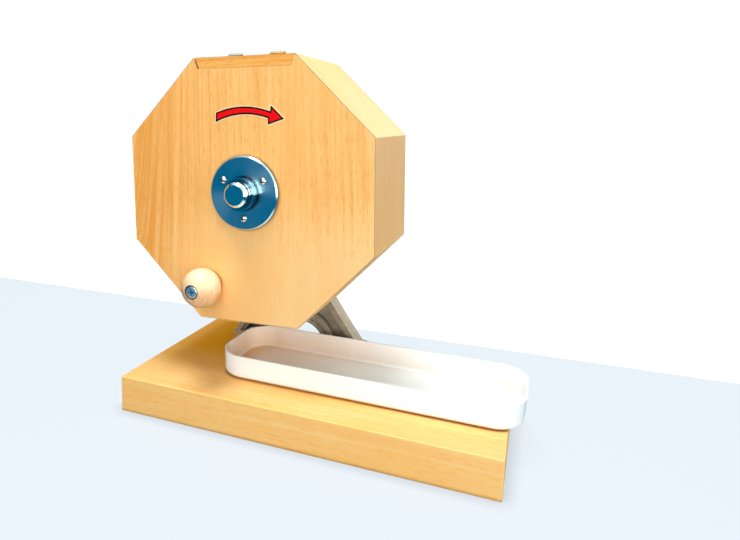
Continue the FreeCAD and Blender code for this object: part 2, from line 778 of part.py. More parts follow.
def flange_screw_places():
    """Centres of the flange screws around the drum axis, as (x, z)."""
    step = 2 * pi / FLANGE_SCREW_COUNT
    return [polar(FLANGE_SCREW_CIRCLE_R, pi + step * k) for k in range(FLANGE_SCREW_COUNT)]


def flange_screw(x, z, face_y, out):
    """A round-head slotted screw through a hub flange. out is -1 in front and +1 behind."""
    seat = face_y + out * FLANGE_THICK
    tip = seat - out * FLANGE_SCREW_LENGTH
    height = FLANGE_SCREW_HEAD_HEIGHT
    ball_r = (FLANGE_SCREW_HEAD_R ** 2 + height ** 2) / (2 * height)
    ball = Part.makeSphere(ball_r, Vec(x, seat + out * (height - ball_r), z))
    slab = rod_y(FLANGE_SCREW_HEAD_R, min(seat, seat + out * height), max(seat, seat + out * height),
                 x, z)
    shank = rod_y(FLANGE_SCREW_SHANK_R, min(seat, tip), max(seat, tip), x, z)
    return ball.common(slab).fuse(shank)


def flange_screws(face_y, out):
    """The plain flange screws of one side."""
    return [flange_screw(x, z, face_y, out) for x, z in flange_screw_places()]


def make_flange_screws(face_y, out):
    """The flange screws of one side, with cross recesses."""
    crown = face_y + out * (FLANGE_THICK + FLANGE_SCREW_HEAD_HEIGHT)
    finished = []
    for (x, z), screw in zip(flange_screw_places(), flange_screws(face_y, out)):
        for along in ("x", "z"):
            screw = screw.cut(slot_cut(x, crown, z, FLANGE_SCREW_RECESS, along, "y"))
        finished.append(screw)
    return group(finished)


def make_flange(face_y, out, boss_r, boss_length):
    """A bevelled hub flange with a boss, bored for its bush and its screws."""
    seat = face_y + out * FLANGE_THICK
    end = seat + out * boss_length
    plate = rod_y(FLANGE_R, min(face_y, seat), max(face_y, seat))
    rim = [e for e in plate.Edges if abs(e.BoundBox.YMin - seat) < TOUCH
           and abs(e.BoundBox.YMax - seat) < TOUCH]
    plate = plate.makeChamfer(FLANGE_BEVEL, rim[:1])
    boss = rod_y(boss_r, min(seat, end), max(seat, end))
    flange = plate.fuse(boss)
    flange = flange.cut(rod_y(BUSH_R, min(face_y, end), max(face_y, end)))
    for screw in flange_screws(face_y, out):
        flange = flange.cut(screw)
    return flange.removeSplitter()


def make_front_flange():
    """The front hub flange, whose boss steps down through turned grooves."""
    flange = make_flange(DRUM_FRONT, -1, FRONT_BOSS_R, FRONT_BOSS_LENGTH)
    seat = DRUM_FRONT - FLANGE_THICK
    for out in BOSS_GROOVES_OUT:
        near = seat - out
        ring = rod_y(FRONT_BOSS_R + OVERCUT, near - BOSS_GROOVE_WIDTH, near)
        ring = ring.cut(rod_y(FRONT_BOSS_R - BOSS_GROOVE_DEPTH, near - BOSS_GROOVE_WIDTH, near))
        flange = flange.cut(ring)
    return flange


def make_rear_flange():
    """The rear hub flange."""
    return make_flange(DRUM_BACK, 1, REAR_BOSS_R, REAR_BOSS_LENGTH)


def make_bush(y0, y1):
    """A plain bearing bush that runs on the spindle."""
    bush = rod_y(BUSH_R, y0, y1)
    return bush.cut(rod_y(SPINDLE_R + RUNNING_FIT, y0, y1))


def make_front_bush():
    """The bush through the front flange and board."""
    return make_bush(front_stack()[0], DRUM_FRONT + WALL)


def make_rear_bush():
    """The bush through the back board and rear flange."""
    return make_bush(DRUM_BACK - WALL, DRUM_BACK + FLANGE_THICK + REAR_BOSS_LENGTH)


# ---------------------------------------------------------------- knob


def knob_centre():
    """The knob's axis around the drum axis, as (x, z): close to the line to a corner."""
    return polar(KNOB_RADIUS_FROM_AXIS, radians(KNOB_ANGLE_DEG))


def make_knob_washer():
    """The washer between knob and front board."""
    x, z = knob_centre()
    front = DRUM_FRONT - KNOB_WASHER_THICK
    disc = rod_y(KNOB_WASHER_R, front, DRUM_FRONT, x, z)
    return disc.cut(rod_y(KNOB_SCREW_R, front, DRUM_FRONT, x, z))


def make_knob():
    """The turned wooden ball, flat at the back, bored and counterbored for its screw."""
    x, z = knob_centre()
    back = DRUM_FRONT - KNOB_WASHER_THICK - END_PLAY
    centre_y = DRUM_FRONT - KNOB_CENTRE_OUT
    reach = KNOB_R + OVERCUT
    ball = Part.makeSphere(KNOB_R, Vec(x, centre_y, z))
    ball = ball.cut(box(x - reach, x + reach, back, back + reach, z - reach, z + reach))
    ball = ball.cut(rod_y(KNOB_SCREW_R + RUNNING_FIT, centre_y - reach, back, x, z))
    return ball.cut(rod_y(KNOB_SEAT_R, centre_y - reach, DRUM_FRONT - KNOB_SEAT_OUT, x, z))


def knob_screw_blank():
    """The knob screw without its cross recess."""
    x, z = knob_centre()
    under_head = DRUM_FRONT - KNOB_SEAT_OUT - END_PLAY
    crown = under_head - KNOB_SCREW_HEAD_HEIGHT
    head = rod_y(KNOB_SCREW_HEAD_R, crown, under_head, x, z)
    edge = [e for e in head.Edges if e.BoundBox.YMax < crown + 0.1]
    head = head.makeFillet(KNOB_SCREW_HEAD_ROUND, edge[:1])
    shank = rod_y(KNOB_SCREW_R, under_head, DRUM_FRONT + WALL + KNOB_NUT_FLANGE_THICK, x, z)
    return head.fuse(shank)


def make_knob_screw():
    """The pan-head screw the knob turns on, with a cross recess."""
    x, z = knob_centre()
    crown = DRUM_FRONT - KNOB_SEAT_OUT - END_PLAY - KNOB_SCREW_HEAD_HEIGHT
    screw = knob_screw_blank()
    for along in ("x", "z"):
        arm = slot_cut(x, crown, z, KNOB_SCREW_RECESS, along, "y")
        screw = screw.cut(arm)
    return screw


def make_knob_nut():
    """The tee nut inside the front board that holds the knob screw."""
    x, z = knob_centre()
    inside = DRUM_FRONT + WALL
    flange = rod_y(KNOB_NUT_FLANGE_R, inside, inside + KNOB_NUT_FLANGE_THICK, x, z)
    barrel = rod_y(KNOB_NUT_BARREL_R, inside - KNOB_NUT_BARREL_LENGTH, inside, x, z)
    return flange.fuse(barrel).cut(knob_screw_blank())


# ---------------------------------------------------------------- arrow and tray


def face_point(radius, clockwise_deg, y):
    """A point around the drum axis, in the plane at y."""
    x, z = polar(radius, radians(clockwise_deg))
    return Vec(x, y, z)


def arc_points(radius, start_deg, end_deg, y):
    """Start, middle and end of an arc around the drum axis."""
    angles = (start_deg, (start_deg + end_deg) / 2, end_deg)
    return [face_point(radius, angle, y) for angle in angles]


def make_arrow():
    """The curved arrow label that shows which way to turn the drum."""
    y = DRUM_FRONT - ARROW_THICK
    outer = arc_points(ARROW_OUTER_R, ARROW_TAIL_OUTER_DEG, ARROW_NECK_DEG, y)
    inner = arc_points(ARROW_INNER_R, ARROW_NECK_DEG, ARROW_TAIL_INNER_DEG, y)
    outer_barb = face_point(*ARROW_OUTER_BARB, y)
    inner_barb = face_point(*ARROW_INNER_BARB, y)
    tip = face_point(*ARROW_TIP, y)
    edges = [
        Part.Arc(*outer).toShape(),
        Part.makeLine(outer[2], outer_barb),
        Part.makeLine(outer_barb, tip),
        Part.makeLine(tip, inner_barb),
        Part.makeLine(inner_barb, inner[0]),
        Part.Arc(*inner).toShape(),
        Part.makeLine(inner[2], outer[0]),
    ]
    return Part.Face(Part.Wire(edges)).extrude(Vec(0, ARROW_THICK, 0))


def rounded_outline(inset, corner, z):
    """A closed rounded rectangle of the tray, moved inwards by an inset."""
    x0 = TRAY_LEFT + inset
    x1 = TRAY_RIGHT - inset
    y0 = TRAY_FRONT + inset
    y1 = TRAY_BACK - inset
    plate = Part.makePlane(x1 - x0, y1 - y0, Vec(x0, y0, z))
    block = plate.extrude(Vec(0, 0, 1))
    uprights = [e for e in block.Edges if e.BoundBox.ZLength > 0.5]
    block = block.makeFillet(corner, uprights)
    low = [f for f in block.Faces if f.BoundBox.ZMax < z + TOUCH]
    return low[0].OuterWire


def tray_solid(inset, floor_z, foot_round):
    """The tray's outside or inside as a solid that widens slightly upwards."""
    top = BASE_THICK + TRAY_HEIGHT
    low = rounded_outline(inset + TRAY_DRAFT, TRAY_CORNER - inset - TRAY_DRAFT, floor_z)
    high = rounded_outline(inset, TRAY_CORNER - inset, top)
    solid = Part.makeLoft([low, high], True, True)
    edges = [e for e in solid.Edges if e.BoundBox.ZMax < floor_z + TOUCH]
    return solid.makeFillet(foot_round, edges)


def make_tray():
    """The shallow moulded tray that catches the drawn balls."""
    outside = tray_solid(0.0, BASE_THICK, TRAY_FOOT_ROUND)
    inside = tray_solid(TRAY_WALL, BASE_THICK + TRAY_WALL, TRAY_FOOT_ROUND - TRAY_WALL)
    return outside.cut(inside)


# ---------------------------------------------------------------- assembly

PANEL_NAMES = ("upper_right", "right", "lower_right", "bottom", "lower_left", "left", "upper_left")


def root_nodes():
    """Everything that stays still."""
    bolts = make_foot_bolts()
    return {
        "base_board": make_base_board(bolts),
        "stand_casting": make_stand(),
        "foot_bolts": bolts,
        "foot_washers": make_foot_washers(),
        "spindle": spindle_group_place(make_spindle()),
        "spindle_washer": spindle_group_place(make_spindle_washer()),
        "spindle_nut": spindle_group_place(make_spindle_nut()),
        "rear_thrust_washer": spindle_group_place(make_rear_thrust_washer()),
        "front_thrust_washer": spindle_group_place(make_front_thrust_washer()),
        "retaining_collar": spindle_group_place(make_retaining_collar()),
        "collar_set_screw": spindle_group_place(make_set_screw()),
    }


def panel_nodes():
    """The seven fixed rim panels, the left one with the ball outlet."""
    nodes = {}
    for index, name in enumerate(PANEL_NAMES, start=1):
        panel = make_rim_panel(index)
        if name == "left":
            panel = panel.cut(outlet_bore())
        nodes["rim_panel_" + name] = drum_place(panel)
    return nodes


def board_cutters(bush, screws):
    """What every end board is cut by: its bush, its flange screws and all the brads."""
    return [bush.fuse(rod_y(SPINDLE_R + 1.0, DRUM_FRONT, DRUM_BACK))] + screws + [make_brads()]


def drum_nodes():
    """Everything that turns with the drum, except the lid and the knob."""
    front_cutters = board_cutters(make_front_bush(), flange_screws(DRUM_FRONT, -1))
    front_cutters += [knob_screw_blank(), make_knob_nut()]
    back_cutters = board_cutters(make_rear_bush(), flange_screws(DRUM_BACK, 1))
    back_cutters.append(make_catch_magnet())
    nodes = {
        "front_board": make_front_board(front_cutters),
        "back_board": make_back_board(back_cutters),
        "front_rail": make_front_rail(),
        "outlet_pocket": make_outlet_pocket(),
        "panel_brads": make_brads(),
        "front_hub_flange": make_front_flange(),
        "rear_hub_flange": make_rear_flange(),
        "front_bush": make_front_bush(),
        "rear_bush": make_rear_bush(),
        "front_flange_screws": make_flange_screws(DRUM_FRONT, -1),
        "rear_flange_screws": make_flange_screws(DRUM_BACK, 1),
        "direction_arrow": make_arrow(),
        "knob_screw": make_knob_screw(),
        "knob_washer": make_knob_washer(),
        "knob_tee_nut": make_knob_nut(),
        "left_hinge_fixed_leaf": make_hinge_leaf(-HINGE_CENTRE_X, True),
        "right_hinge_fixed_leaf": make_hinge_leaf(HINGE_CENTRE_X, True),
        "left_hinge_pin": make_hinge_pin(-HINGE_CENTRE_X),
        "right_hinge_pin": make_hinge_pin(HINGE_CENTRE_X),
        "hinge_fixed_screws": make_hinge_screws(-1),
        "lid_catch_magnet": make_catch_magnet(),
    }
    return {name: drum_place(shape) for name, shape in nodes.items()}


def lid_nodes():
    """The lid and what is fixed to it."""
    nodes = {
        "lid": make_lid(),
        "left_hinge_lid_leaf": make_hinge_leaf(-HINGE_CENTRE_X, False),
        "right_hinge_lid_leaf": make_hinge_leaf(HINGE_CENTRE_X, False),
        "hinge_lid_screws": make_hinge_screws(1),
        "lid_catch_disc": make_catch_disc(),
    }
    return {name: drum_place(shape) for name, shape in nodes.items()}


def export_all():
    """Write one STEP file for each node."""
    nodes = {}
    nodes.update(root_nodes())
    nodes.update(panel_nodes())
    nodes.update(drum_nodes())
    nodes.update(lid_nodes())
    nodes["knob"] = drum_place(make_knob())
    nodes["tray"] = make_tray()
    os.makedirs("parts", exist_ok=True)
    for name, shape in nodes.items():
        shape.exportStep("parts/" + name + ".step")
        print(name, len(shape.Solids), round(shape.Volume, 1), shape.isValid())


export_all()
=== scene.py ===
import json
from math import cos, pi, radians, sin

import bmesh
import bpy
from mathutils import Matrix, Vector


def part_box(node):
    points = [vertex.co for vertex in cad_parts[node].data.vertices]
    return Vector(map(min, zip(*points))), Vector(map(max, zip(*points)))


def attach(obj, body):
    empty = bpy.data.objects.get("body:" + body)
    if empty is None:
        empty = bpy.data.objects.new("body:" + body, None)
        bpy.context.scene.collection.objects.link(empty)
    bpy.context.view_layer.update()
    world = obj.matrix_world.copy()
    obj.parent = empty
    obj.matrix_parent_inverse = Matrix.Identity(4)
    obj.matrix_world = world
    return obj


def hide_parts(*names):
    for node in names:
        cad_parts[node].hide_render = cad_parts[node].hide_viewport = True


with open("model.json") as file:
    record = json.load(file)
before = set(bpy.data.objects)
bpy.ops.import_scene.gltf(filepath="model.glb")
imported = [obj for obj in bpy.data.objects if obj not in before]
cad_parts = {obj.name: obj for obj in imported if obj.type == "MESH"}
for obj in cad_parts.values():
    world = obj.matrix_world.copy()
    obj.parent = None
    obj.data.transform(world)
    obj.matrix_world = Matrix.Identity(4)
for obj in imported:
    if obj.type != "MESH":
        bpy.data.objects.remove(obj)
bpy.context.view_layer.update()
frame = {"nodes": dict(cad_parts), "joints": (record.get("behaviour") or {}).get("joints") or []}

# A hand-turned lottery drum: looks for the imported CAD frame.
# Everything is in metres, in the CAD frame: +X right, +Y away from the viewer, +Z up.

MM = 0.001

# ------------------------------------------------------------------ places read from the frame


def joint(name):
    """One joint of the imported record, by name."""
    return next(j for j in frame["joints"] if j["name"] == name)


DRUM_AXIS = Vector(joint("drum_spin")["pos_m"])
LID_AXIS = Vector(joint("lid_hinge")["axis"])
# The drum rests turned a little off square; the hinge's axis says by how much (about +Y).
REST_TURN = -LID_AXIS.z
FRONT_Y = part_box("front_board")[0].y

# ------------------------------------------------------------------ node graph helper


class Graph:
    """A material's node tree, with one short call for each kind of node."""

    def __init__(self, name):
        self.material = bpy.data.materials.new(name)
        self.material.use_nodes = True
        self.tree = self.material.node_tree
        self.shader = self.tree.nodes["Principled BSDF"]

    def add(self, kind, inputs=(), output=0, **settings):
        """Adds a node, links or sets its inputs, and returns one of its outputs."""
        made = self.tree.nodes.new("ShaderNode" + kind)
        for key, value in settings.items():
            setattr(made, key, value)
        for key, value in dict(inputs).items():
            self.plug(value, made.inputs[key])
        return made.outputs[output]

    def plug(self, value, socket):
        """Links a socket to an input, or sets the input's own value."""
        if isinstance(value, bpy.types.NodeSocket):
            self.tree.links.new(value, socket)
        else:
            socket.default_value = value

    def surface(self, **inputs):
        """Sets the Principled shader's inputs; an underscore stands for a space."""
        for key, value in inputs.items():
            self.plug(value, self.shader.inputs[key.replace("_", " ")])

    def object_place(self):
        """The point in the CAD frame at rest."""
        return self.add("TexCoord", output=3)

    def math(self, operation, a, b=0.0, clamp=False):
        return self.add("Math", {0: a, 1: b}, operation=operation, use_clamp=clamp)

    def vector_math(self, operation, a, b):
        return self.add("VectorMath", {0: a, 1: b}, operation=operation)

    def split(self, vector):
        """The three parts of a vector."""
        return self.add("SeparateXYZ", {0: vector}).node.outputs

    def noise(self, place, scale, detail=2.0, roughness=0.5, distortion=0.0):
        inputs = {"Vector": place, "Scale": scale, "Detail": detail,
                  "Roughness": roughness, "Distortion": distortion}
        return self.add("TexNoise", inputs)

    def voronoi(self, place, scale, output=0, **settings):
        return self.add("TexVoronoi", {"Vector": place, "Scale": scale}, output, **settings)

    def scaled(self, place, scale, shift=(0, 0, 0)):
        return self.add("Mapping", {"Vector": place, "Location": shift, "Scale": scale})

    def levels(self, value, low, high, to_low=0.0, to_high=1.0):
        inputs = {"Value": value, "From Min": low, "From Max": high,
                  "To Min": to_low, "To Max": to_high}
        return self.add("MapRange", inputs)

    def ramp(self, value, stops, interpolation="LINEAR"):
        """A colour ramp through (position, colour) stops."""
        output = self.add("ValToRGB", {"Fac": value})
        band = output.node.color_ramp
        band.interpolation = interpolation
        while len(band.elements) < len(stops):
            band.elements.new(1.0)
        for element, (position, colour) in zip(band.elements, stops):
            element.position = position
            element.color = rgba(colour)
        return output

    def mix(self, factor, a, b, blend="MIX"):
        """Mixes two colours."""
        inputs = {0: factor, 6: a, 7: b}
        return self.add("Mix", inputs, 2, data_type="RGBA", blend_type=blend)

    def bump(self, height, distance, strength=1.0, normal=None):
        inputs = {"Height": height, "Distance": distance, "Strength": strength}
        if normal is not None:
            inputs["Normal"] = normal
        return self.add("Bump", inputs)

    def edge_mask(self, width, amount):
        """From 0 on a flat to the amount given on an arris, within a width of it."""
        rounded = self.add("Bevel", {"Radius": width})
        flat = self.add("NewGeometry", output=1)
        facing = self.add("VectorMath", {0: rounded, 1: flat}, 1, operation="DOT_PRODUCT")
        return self.levels(facing, 0.998, 0.93, 0.0, amount)

    def crevice(self, reach, closed, clear, amount):
        """The amount given where little sky is seen within a reach, fading to 0 where it is clear."""
        sky = self.add("AmbientOcclusion", {"Distance": reach}, 1, samples=6)
        return self.levels(sky, closed, clear, amount, 0.0)


def linear(red, green, blue):
    """A display colour, 0 to 255, as linear numbers."""
    return tuple(((c / 255 + 0.055) / 1.055) ** 2.4 if c > 10 else c / 255 / 12.92
                 for c in (red, green, blue))


def rgba(colour):
    """A linear colour as an opaque one."""
    return (*colour, 1.0)


# ------------------------------------------------------------------ wood


def plank_place(g, turn, order, shift):
    """The point as (across, through, along) a plank turned about the drum axis."""
    place = g.vector_math("SUBTRACT", g.object_place(), tuple(DRUM_AXIS))
    spun = g.add("VectorRotate", {"Vector": place, "Axis": (0, 1, 0), "Angle": -turn})
    parts = g.split(spun)
    inputs = {axis: parts[letter] for axis, letter in zip("XYZ", order)}
    grain = g.add("CombineXYZ", inputs)
    return g.vector_math("ADD", grain, tuple(shift))


def grain_lines(g, grain, inner, slant):
    """Where the grain's lines run: they wander everywhere, and lean in the heartwood."""
    across, through, along = g.split(grain)
    wander = g.noise(g.scaled(grain, (9.0, 9.0, 2.6)), 1.0, 2.0)
    wander = g.math("MULTIPLY", g.math("SUBTRACT", wander, 0.5), 20 * MM)
    warped = g.math("ADD", across, wander)
    if slant:
        lean = g.math("MULTIPLY", g.math("MULTIPLY", inner, slant), along)
        warped = g.math("ADD", warped, lean)
    return g.add("CombineXYZ", {"X": warped, "Y": through, "Z": along})


def growth_rings(g, grain, line_place, pith, ring):
    """Late wood, from 0 to 1, in rings around a pith that lies outside the plank."""
    warped, through, _ = g.split(line_place)
    ring_x = g.math("SUBTRACT", warped, pith[0])
    ring_y = g.math("SUBTRACT", through, pith[1])
    radius = g.math("SQRT", g.math("ADD", g.math("MULTIPLY", ring_x, ring_x),
                                   g.math("MULTIPLY", ring_y, ring_y)))
    pace = g.noise(g.scaled(grain, (30.0, 30.0, 1.2)), 1.0, 2.0)
    phase = g.math("ADD", g.math("DIVIDE", radius, ring), g.math("MULTIPLY", pace, 3.6))
    return g.ramp(g.math("FRACT", phase), [(0.0, (0.0,) * 3), (0.5, (0.35,) * 3),
                                           (0.86, (1.0,) * 3), (1.0, (0.0,) * 3)], "EASE")


def streaks(g, grain, line_place):
    """Broad bands of tone, thin lines, short dark flecks and fine pores."""
    bands = g.noise(g.scaled(line_place, (42.0, 42.0, 3.2)), 1.0, 3.0, 0.6)
    lines = g.noise(g.scaled(line_place, (350.0, 350.0, 9.0)), 1.0, 3.0, 0.65)
    flecks = g.noise(g.scaled(line_place, (620.0, 620.0, 95.0)), 1.0, 2.0, 0.55)
    pores = g.noise(g.scaled(grain, (2100.0, 2100.0, 190.0)), 1.0, 1.0)
    return bands, lines, g.levels(flecks, 0.52, 0.68), g.levels(pores, 0.60, 0.74)


def deepened(g, tone, line_place, inner, strength):
    """The tone, darker in streaks where the wood is heartwood."""
    deep = g.noise(g.scaled(line_place, (85.0, 85.0, 2.4), (5.0, 0.0, 2.0)), 1.0, 3.0, 0.6)
    deep = g.levels(deep, 0.36, 0.64, 0.25, 1.0)
    added = g.math("MULTIPLY", g.math("MULTIPLY", inner, deep), strength)
    return g.math("ADD", tone, added)


def toned(g, grain, tone, pores, tones, contrast):
    """The wood's colour from its tone, with warmer clouds and dark pores."""
    light, middle, dark = tones
    colour = g.ramp(tone, [(0.0, light), (0.42, middle), (1.0, dark)])
    hue = g.noise(g.scaled(grain, (14.0, 14.0, 5.0), (3.1, 0.4, 7.7)), 1.0, 3.0, 0.6)
    warm = tuple(min(1.0, c * k) for c, k in zip(middle, (1.03, 0.87, 0.68)))
    colour = g.mix(g.levels(hue, 0.46, 0.72, 0.0, 0.55), colour, rgba(warm))
    pored = g.math("MULTIPLY", pores, 0.22 * contrast)
    return g.mix(pored, colour, rgba(tuple(c * k for c, k in zip(dark, (0.85, 0.72, 0.6)))))


def painted_drum_shade(g, amount):
    """Painted shade's amount: on level wood under the drum, fading out in front of it and beside it.
    """
    x, y, _ = g.split(g.object_place())
    aside = g.math("ABSOLUTE", g.math("SUBTRACT", x, DRUM_AXIS.x))
    near = g.math("MULTIPLY", g.levels(aside, 105 * MM, 175 * MM, amount, 0.0),
                  g.levels(y, FRONT_Y + 8 * MM, FRONT_Y + 85 * MM))
    faces_up = g.levels(g.split(g.add("NewGeometry", output=1))[2], 0.6, 0.9)
    return g.math("MULTIPLY", near, faces_up)


def grain_normal(g, late, lines, flecks, pores):
    """The varnish's slow ripple with the grain's fine relief on it."""
    height = g.math("SUBTRACT", g.math("MULTIPLY", lines, 0.8), g.math("MULTIPLY", late, 0.3))
    height = g.math("SUBTRACT", height, g.math("MULTIPLY", pores, 0.6))
    height = g.math("SUBTRACT", height, g.math("MULTIPLY", flecks, 0.3))
    ripple = g.noise(g.object_place(), 30.0, 2.0)
    return g.bump(height, 0.1 * MM, 0.6, g.bump(ripple, 0.5 * MM, 0.2))


def wood(name, turn, order, shift, tones, pith=(-0.16, 0.07), ring=0.0085,
         contrast=1.0, slant=0.0, heart=(0.0, 0.0, 0.0), paler_along=(0.0, 0.0, 0.0), gloss=0.46,
         edge=None, shade=0.0, sheen=0.30):
    """Fine straight-grained varnished wood.

    tones are its light, middle and dark colours. heart is where the warmer heartwood starts
    and is full, across the grain, and how strong it is; paler_along is the same for paler colour
    along the grain, outside the heartwood: a painted highlight on the knob's upper part, and on
    the front board paler towards its bottom. edge is the colour, amount and width of its arrises.
    shade is how strong the warm painted shade is on level wood under the drum, and sheen how much
    the wood shines.
    """
    g = Graph(name)
    grain = plank_place(g, turn, order, shift)
    across, _, along = g.split(grain)
    start, full, strength = heart
    inner = g.levels(across, start, full) if strength else 0.0
    line_place = grain_lines(g, grain, inner, slant)
    late = growth_rings(g, grain, line_place, pith, ring)
    bands, lines, flecks, pores = streaks(g, grain, line_place)

    # How dark each point is, from 0 (light) to 1 (dark).
    tone = g.math("MULTIPLY", late, 0.16 * contrast)
    tone = g.math("ADD", tone, g.levels(bands, 0.30, 0.70, 0.0, 0.34 * contrast))
    tone = g.math("ADD", tone, g.levels(lines, 0.30, 0.70, 0.0, 0.34 * contrast))
    tone = g.math("ADD", tone, g.math("MULTIPLY", flecks, 0.30 * contrast))
    if strength:
        tone = deepened(g, tone, line_place, inner, strength)
    # Paler along the grain outside the heartwood: on the knob a painted highlight on its upper part,
    # on the front board paler towards its bottom.
    paler_start, paler_full, paler_strength = paler_along
    if paler_strength:
        outer = g.math("MULTIPLY", g.math("SUBTRACT", 1.0, inner), paler_strength)
        paler = g.math("MULTIPLY", g.levels(along, paler_start, paler_full), outer)
        tone = g.math("SUBTRACT", tone, paler)
    tone = g.math("MULTIPLY", tone, 1.0, clamp=True)
    colour = toned(g, grain, tone, pores, tones, contrast)

    # Arrises: paler with wear and a painted highlight, or dark with dust at a joint such as the
    # rail's. Corners: painted shade.
    edge_colour, edge_amount, edge_width = edge or EDGE_WEAR_AND_HIGHLIGHT
    colour = g.mix(g.edge_mask(edge_width, edge_amount), colour, rgba(edge_colour))
    colour = g.mix(g.crevice(4 * MM, 0.45, 0.9, 0.7), colour, rgba(CORNER_SHADE))
    # Painted shade under the drum: the colour turns warm and dark, and the wood shines less.
    if shade:
        glow = painted_drum_shade(g, shade)
        colour = g.mix(glow, colour, rgba(UNDER_DRUM_SHADE))
        sheen = g.math("MULTIPLY", g.math("SUBTRACT", 1.0, glow), sheen)
    mottle = g.noise(g.object_place(), 42.0, 4.0, 0.6)
    rough = g.levels(mottle, 0.3, 0.7, gloss - 0.05, gloss + 0.10)
    rough = g.math("ADD", rough, g.math("MULTIPLY", pores, 0.10))
    g.surface(Base_Color=colour, Roughness=rough, Specular_IOR_Level=sheen,
              Normal=grain_normal(g, late, lines, flecks, pores),
              Coat_Weight=g.math("DIVIDE", sheen, 3.0), Coat_Roughness=0.34)
    return g.material


HONEY = (linear(255, 214, 148), linear(254, 198, 122), linear(240, 166, 76))
PALE = (linear(255, 222, 164), linear(253, 206, 138), linear(236, 170, 90))
BASE = (linear(255, 221, 154), linear(255, 208, 132), linear(253, 183, 92))
BALL = (linear(255, 230, 196), linear(251, 212, 168), linear(234, 178, 120))
RAIL = (linear(252, 204, 124), linear(247, 186, 100), linear(232, 152, 62))

CORNER_SHADE = linear(122, 68, 24)  # painted shade in the corners, where surfaces meet or nearly touch
GROOVE_SHADE = linear(40, 28, 22)  # painted shade in the grooves of metal
UNDER_DRUM_SHADE = linear(252, 184, 52)  # painted shade under the drum, warm like wood lit by light bounced off wood
# Paler arrises: wear together with a painted highlight along them, fainter on the base board.
EDGE_WEAR_AND_HIGHLIGHT = (linear(255, 226, 170), 0.8, 1.1 * MM)
FAINT_EDGE_WEAR_AND_HIGHLIGHT = (linear(255, 220, 156), 0.35, 1.1 * MM)
DUSTY_JOINT = (linear(120, 66, 20), 0.85, 0.8 * MM)

FACE_ORDER = "XYZ"  # across, through, along: a board with upright grain
RIM_ORDER = "YZX"  # grain round the rim
LEVEL_ORDER = "YZX"  # the base board, with its grain from side to side
RAIL_ORDER = "ZYX"  # the front rail and lid, grain from side to side


# ------------------------------------------------------------------ metals, paint and plastic


BOSS_EDGE = (15.8 * MM, 16.6 * MM)  # from the drum axis: polished within, brushed beyond


def radius_from_axis(g):
    """The distance from the drum axis, for marks left by turning."""
    place = g.vector_math("SUBTRACT", g.object_place(), tuple(DRUM_AXIS))
    flat = g.vector_math("MULTIPLY", place, (1, 0, 1))
    return g.add("VectorMath", {0: flat}, 1, operation="LENGTH")


def metal(name, colour, roughness, turned=0.0, scratch=0.3, dirt=0.15):
    """A bare or plated metal with fine scratches, smudges, dull spots and painted shade in its
    grooves.

    turned is how strongly marks around the drum axis draw out its highlights.
    """
    g = Graph(name)
    place = g.object_place()
    smudge = g.noise(place, 90.0, 4.0, 0.6)
    rough = g.levels(smudge, 0.3, 0.75, roughness * (1 - scratch), roughness * (1 + scratch))
    scuffs = g.noise(g.scaled(place, (300.0, 300.0, 2600.0)), 1.0, 2.0, 0.7)
    scuffs = g.levels(scuffs, 0.62, 0.78)
    rough = g.math("ADD", rough, g.math("MULTIPLY", scuffs, scratch * 0.25), clamp=True)
    spots = g.levels(g.noise(place, 420.0, 2.0, 0.5), 0.66, 0.8, 0.0, dirt)
    dulled = rgba(tuple(c * 0.45 for c in colour))
    tint = g.mix(g.levels(smudge, 0.35, 0.7, 0.0, dirt), rgba(colour), dulled)
    tint = g.mix(spots, tint, dulled)
    # Painted shade in grooves and tight corners.
    tint = g.mix(g.crevice(3 * MM, 0.5, 0.95, 1.0), tint, rgba(GROOVE_SHADE))
    normal = g.bump(scuffs, 0.02 * MM, 0.5)
    if turned:
        radius = radius_from_axis(g)
        rough = g.math("MULTIPLY", rough, g.levels(radius, *BOSS_EDGE, 0.45, 1.0))
        ring_place = g.add("CombineXYZ", {"X": g.math("MULTIPLY", radius, 2600.0)})
        normal = g.bump(g.noise(ring_place, 1.0, 2.0, 0.7), 0.02 * MM, 0.5, normal)
        tangent = g.add("Tangent", direction_type="RADIAL", axis="Y")
        g.surface(Anisotropic=turned, Anisotropic_Rotation=0.25, Tangent=tangent)
    g.surface(Base_Color=tint, Metallic=1.0, Roughness=rough, Normal=normal)
    return g.material


def cast_paint(name):
    """Metallic hammered paint over a rough casting, with painted highlights on its arrises and
    painted shade in its recesses and under the drum.
    """
    g = Graph(name)
    place = g.object_place()
    dimples = g.voronoi(place, 520.0, feature="SMOOTH_F1")
    grit = g.noise(place, 900.0, 3.0, 0.6)
    blotch = g.noise(place, 45.0, 4.0, 0.55)
    colour = g.ramp(g.levels(blotch, 0.3, 0.7), [(0.0, linear(168, 158, 134)),
                                                 (0.5, linear(190, 181, 158)),
                                                 (1.0, linear(210, 202, 182))])
    speck = g.levels(g.noise(place, 640.0, 2.0, 0.7), 0.46, 0.62, 0.0, 0.45)
    colour = g.mix(speck, colour, rgba(linear(96, 86, 64)))
    # Painted highlight along the arrises.
    colour = g.mix(g.edge_mask(0.9 * MM, 0.8), colour, rgba(linear(232, 226, 212)))
    # Painted shade in recesses and under the drum.
    colour = g.mix(g.crevice(80 * MM, 0.10, 0.44, 0.72), colour, rgba(linear(56, 45, 30)))
    rough = g.levels(blotch, 0.3, 0.7, 0.34, 0.5)
    height = g.math("ADD", dimples, g.math("MULTIPLY", grit, 0.35))
    normal = g.bump(height, 0.22 * MM, 0.5)
    g.surface(Base_Color=colour, Metallic=0.3, Roughness=rough, Normal=normal,
              Specular_IOR_Level=0.5)
    return g.material


